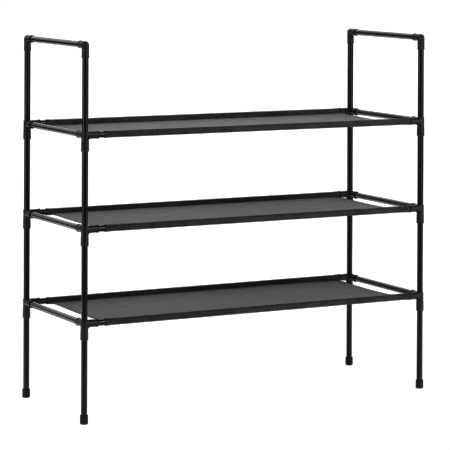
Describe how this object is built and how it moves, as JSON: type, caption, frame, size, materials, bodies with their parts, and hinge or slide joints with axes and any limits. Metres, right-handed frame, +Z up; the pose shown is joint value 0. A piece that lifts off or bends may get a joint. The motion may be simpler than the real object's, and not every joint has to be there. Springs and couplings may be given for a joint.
{
  "type": "shoe rack",
  "caption": "Tiered shoe rack of push-fit steel tubes and moulded corner connectors, with stretched fabric shelves and a raised handle frame at each end.",
  "frame": {"origin": "centre of the footprint, on the floor under the feet", "axes": "+X along the shelves, +Y from the front rails to the back rails, +Z up"},
  "size_m": [0.8822, 0.3362, 0.8319],
  "materials": {
    "tube_steel": "satin black powder coat",
    "connector_plastic": "matte moulded, fine grain",
    "foot_plastic": "matte moulded",
    "shelf_fabric": "matte woven cloth, sewn sleeves"
  },
  "bodies": {
    "root": {"foot_front_left": "foot_plastic", "leg_front_left": "tube_steel", "lower_post_front_left": "tube_steel", "upper_post_front_left": "tube_steel", "handle_post_front_left": "tube_steel", "connector_bottom_front_left": "connector_plastic", "connector_middle_front_left": "connector_plastic", "connector_top_front_left": "connector_plastic", "elbow_front_left": "connector_plastic", "foot_front_right": "foot_plastic", "leg_front_right": "tube_steel", "lower_post_front_right": "tube_steel", "upper_post_front_right": "tube_steel", "handle_post_front_right": "tube_steel", "connector_bottom_front_right": "connector_plastic", "connector_middle_front_right": "connector_plastic", "connector_top_front_right": "connector_plastic", "elbow_front_right": "connector_plastic", "foot_back_right": "foot_plastic", "leg_back_right": "tube_steel", "lower_post_back_right": "tube_steel", "upper_post_back_right": "tube_steel", "handle_post_back_right": "tube_steel", "connector_bottom_back_right": "connector_plastic", "connector_middle_back_right": "connector_plastic", "connector_top_back_right": "connector_plastic", "elbow_back_right": "connector_plastic", "foot_back_left": "foot_plastic", "leg_back_left": "tube_steel", "lower_post_back_left": "tube_steel", "upper_post_back_left": "tube_steel", "handle_post_back_left": "tube_steel", "connector_bottom_back_left": "connector_plastic", "connector_middle_back_left": "connector_plastic", "connector_top_back_left": "connector_plastic", "elbow_back_left": "connector_plastic", "side_bar_bottom_left": "tube_steel", "side_bar_middle_left": "tube_steel", "side_bar_top_left": "tube_steel", "handle_bar_left": "tube_steel", "side_bar_bottom_right": "tube_steel", "side_bar_middle_right": "tube_steel", "side_bar_top_right": "tube_steel", "handle_bar_right": "tube_steel", "rail_bottom_front": "tube_steel", "rail_bottom_back": "tube_steel", "shelf_bottom": "shelf_fabric", "rail_middle_front": "tube_steel", "rail_middle_back": "tube_steel", "shelf_middle": "shelf_fabric", "rail_top_front": "tube_steel", "rail_top_back": "tube_steel", "shelf_top": "shelf_fabric"}
  },
  "joints": []
}
